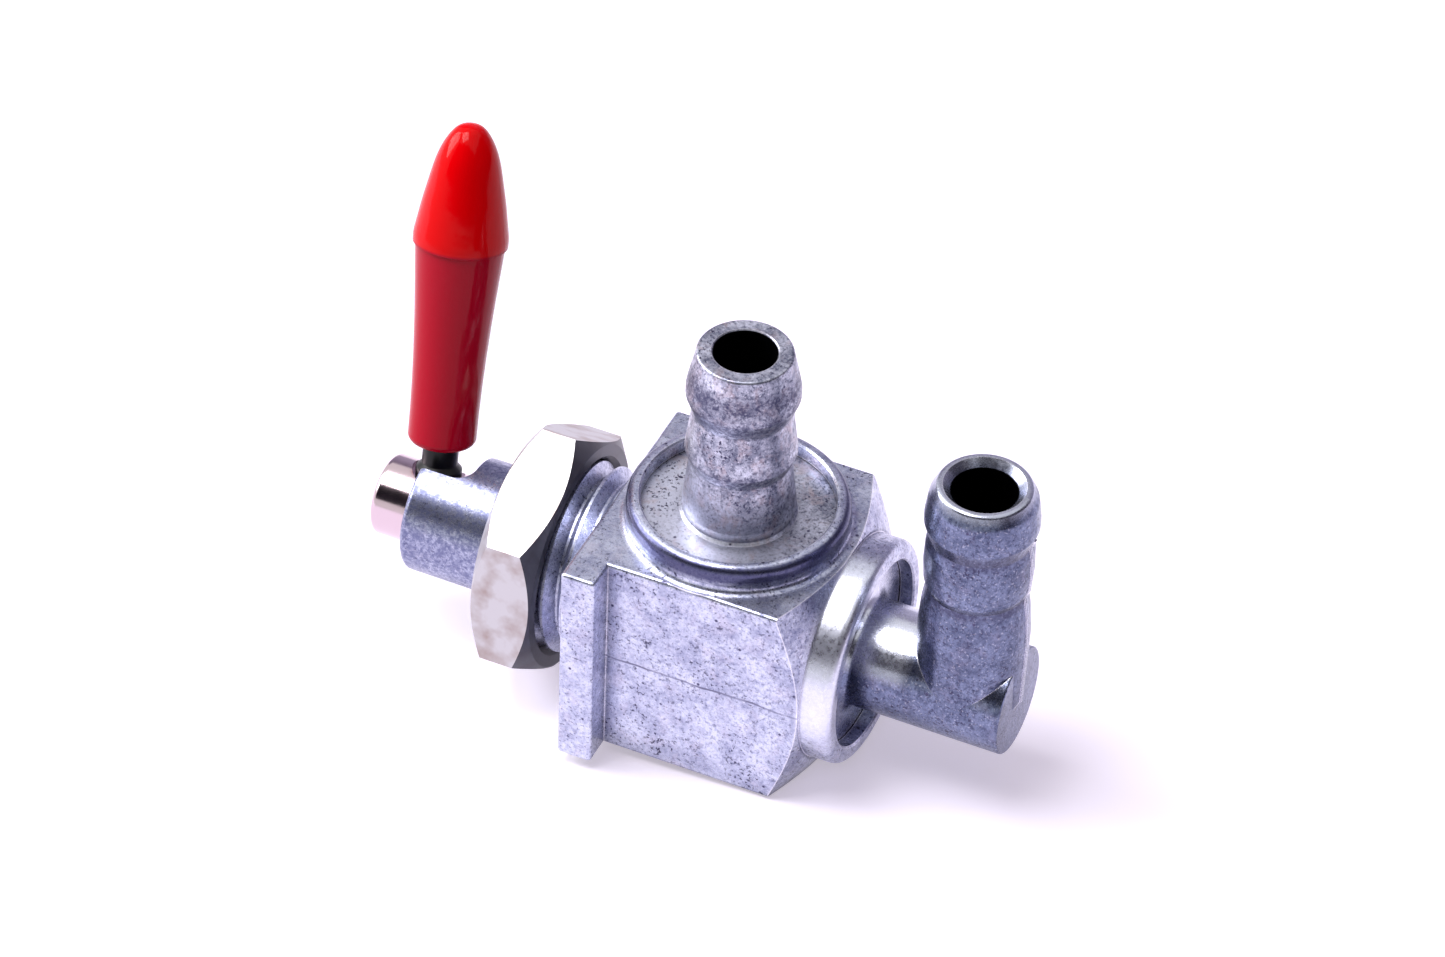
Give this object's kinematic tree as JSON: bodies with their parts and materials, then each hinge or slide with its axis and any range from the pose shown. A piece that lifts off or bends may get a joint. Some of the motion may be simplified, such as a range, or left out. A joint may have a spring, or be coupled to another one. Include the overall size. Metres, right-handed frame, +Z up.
{
  "type": "shut-off valve",
  "caption": "Small cast hose valve with a threaded panel neck, jam nut, straight inlet barb, elbow outlet barb and a red lever handle.",
  "frame": {"origin": "on the axis of the threaded neck, at the body face that meets the panel", "axes": "+X along the neck axis towards the elbow outlet, +Z up along the straight inlet barb, -Y towards the side with the lug"},
  "size_m": [0.0501, 0.0212, 0.0378],
  "materials": {
    "cast_body": "bare die-cast zinc alloy, mottled, with fine pits and bright worn edges",
    "cast_straight_barb": "bare die-cast zinc alloy with dark speckle and faint warm patches",
    "cast_elbow_barb": "bare die-cast zinc alloy, bluish grey, fine speckle",
    "plated_nut": "bright zinc plate with faint warm blotches",
    "polished_plate": "polished nickel plate on brass",
    "turned_brass": "turned",
    "black_steel": "black oxide, smooth",
    "spring_steel": "plain spring steel",
    "red_plastic": "glossy moulded plastic",
    "white_plastic": "plain low-friction plastic",
    "rubber": "matt nitrile rubber"
  },
  "bodies": {
    "valve": {"valve_body": "cast_body", "straight_barb": "cast_straight_barb", "straight_barb_o_ring": "rubber", "elbow_barb_o_ring": "rubber", "port_seat": "white_plastic", "port_seat_o_ring": "rubber", "port_seat_spring": "spring_steel", "thrust_washer": "white_plastic", "rotor_spring": "spring_steel"},
    "lever": {"valve_stem": "polished_plate", "lever_rod": "black_steel", "lever_handle": "red_plastic", "rotor": "turned_brass", "inner_stem_o_ring": "rubber", "outer_stem_o_ring": "rubber"},
    "elbow": {"elbow_barb": "cast_elbow_barb"},
    "nut": {"jam_nut": "plated_nut"}
  },
  "joints": [
    {"name": "lever_turn", "type": "hinge", "parent": "valve", "child": "lever", "pos_m": [-0.01489, 0, 0], "axis": [-1, 0, 0], "range_deg": [-6, 84]},
    {"name": "elbow_swivel", "type": "hinge", "parent": "valve", "child": "elbow", "pos_m": [0.0184, 0, 0], "axis": [1, 0, 0], "continuous": true},
    {"name": "nut_turn", "type": "hinge", "parent": "valve", "child": "nut", "pos_m": [-0.00575, 0, 0], "axis": [1, 0, 0], "range_deg": [-700, 816]}
  ]
}
